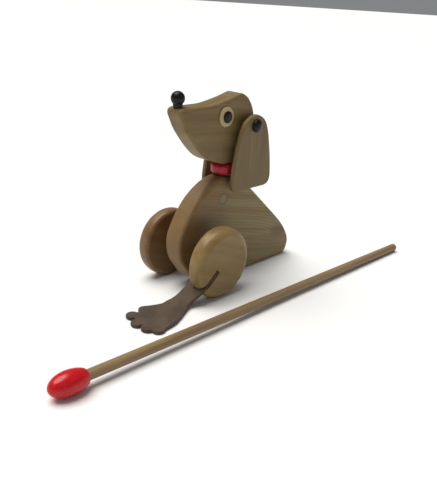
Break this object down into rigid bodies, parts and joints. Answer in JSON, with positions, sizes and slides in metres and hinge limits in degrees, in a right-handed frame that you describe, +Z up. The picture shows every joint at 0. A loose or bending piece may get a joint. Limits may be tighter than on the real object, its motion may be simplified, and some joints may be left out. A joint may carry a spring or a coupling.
{
  "type": "push along toy",
  "caption": "Wooden push-along sitting dog with swinging ears, front wheels carrying flapping leather feet, a red collar ring, and a loose push stick with a red egg handle.",
  "frame": {"origin": "middle of the bounding box of the dog and its loose stick, on the floor", "axes": "+Z up; the dog faces -Y, so its left side, where the stick lies, is +X"},
  "size_m": [0.1752, 0.5338, 0.2203],
  "materials": {
    "beech_board": "satin oiled, visible grain",
    "turned_beech": "satin, smooth",
    "dowel_wood": "satin",
    "stick_wood": "satin",
    "pale_wood": "satin",
    "collar_paint": "gloss paint",
    "handle_paint": "gloss paint",
    "black_lacquer": "gloss lacquer",
    "leather": "matt, worn"
  },
  "bodies": {
    "dog": {"body": "beech_board", "neck_dowel": "dowel_wood", "neck_pin": "dowel_wood", "collar_ring": "collar_paint", "head": "beech_board", "nose_peg": "black_lacquer", "nose_ball": "black_lacquer", "eye_disc_left": "pale_wood", "eye_disc_right": "pale_wood", "eye_pupil_left": "black_lacquer", "eye_pupil_right": "black_lacquer", "ear_spacer_left": "dowel_wood", "ear_spacer_right": "dowel_wood", "ear_peg_left": "black_lacquer", "ear_peg_right": "black_lacquer"},
    "wheel_set": {"axle": "dowel_wood", "axle_spacer_left": "dowel_wood", "axle_spacer_right": "dowel_wood", "wheel_left": "turned_beech", "wheel_right": "turned_beech", "foot_tang_left": "leather", "foot_tang_right": "leather"},
    "flap_left": {"foot_left": "leather"},
    "flap_right": {"foot_right": "leather"},
    "ear_flap_left": {"ear_left": "beech_board"},
    "ear_flap_right": {"ear_right": "beech_board"},
    "stick": {"push_stick": "stick_wood", "handle_egg": "handle_paint"}
  },
  "joints": [
    {"name": "wheel_spin", "type": "hinge", "parent": "dog", "child": "wheel_set", "pos_m": [-0.02091, -0.02071, 0.04], "axis": [1, 0, 0], "continuous": true},
    {"name": "foot_left_flex", "type": "hinge", "parent": "wheel_set", "child": "flap_left", "pos_m": [0.02129, -0.05517, 0.01491], "axis": [1, 0, 0], "range_deg": [-60, 25], "stiffness_Nm_per_rad": 0.15, "deforming": ["foot_left"]},
    {"name": "foot_right_flex", "type": "hinge", "parent": "wheel_set", "child": "flap_right", "pos_m": [-0.06311, 0.01375, 0.06509], "axis": [1, 0, 0], "range_deg": [-60, 25], "stiffness_Nm_per_rad": 0.15, "deforming": ["foot_right"]},
    {"name": "ear_left_swing", "type": "hinge", "parent": "dog", "child": "ear_flap_left", "pos_m": [0.00069, 0.04559, 0.18], "axis": [1, 0, 0], "continuous": true},
    {"name": "ear_right_swing", "type": "hinge", "parent": "dog", "child": "ear_flap_right", "pos_m": [-0.04251, 0.04559, 0.18], "axis": [1, 0, 0], "continuous": true},
    {"name": "stick_lift", "type": "slide", "parent": "dog", "child": "stick", "axis": [0, 0, 1], "range_m": [0, 0.25]}
  ]
}
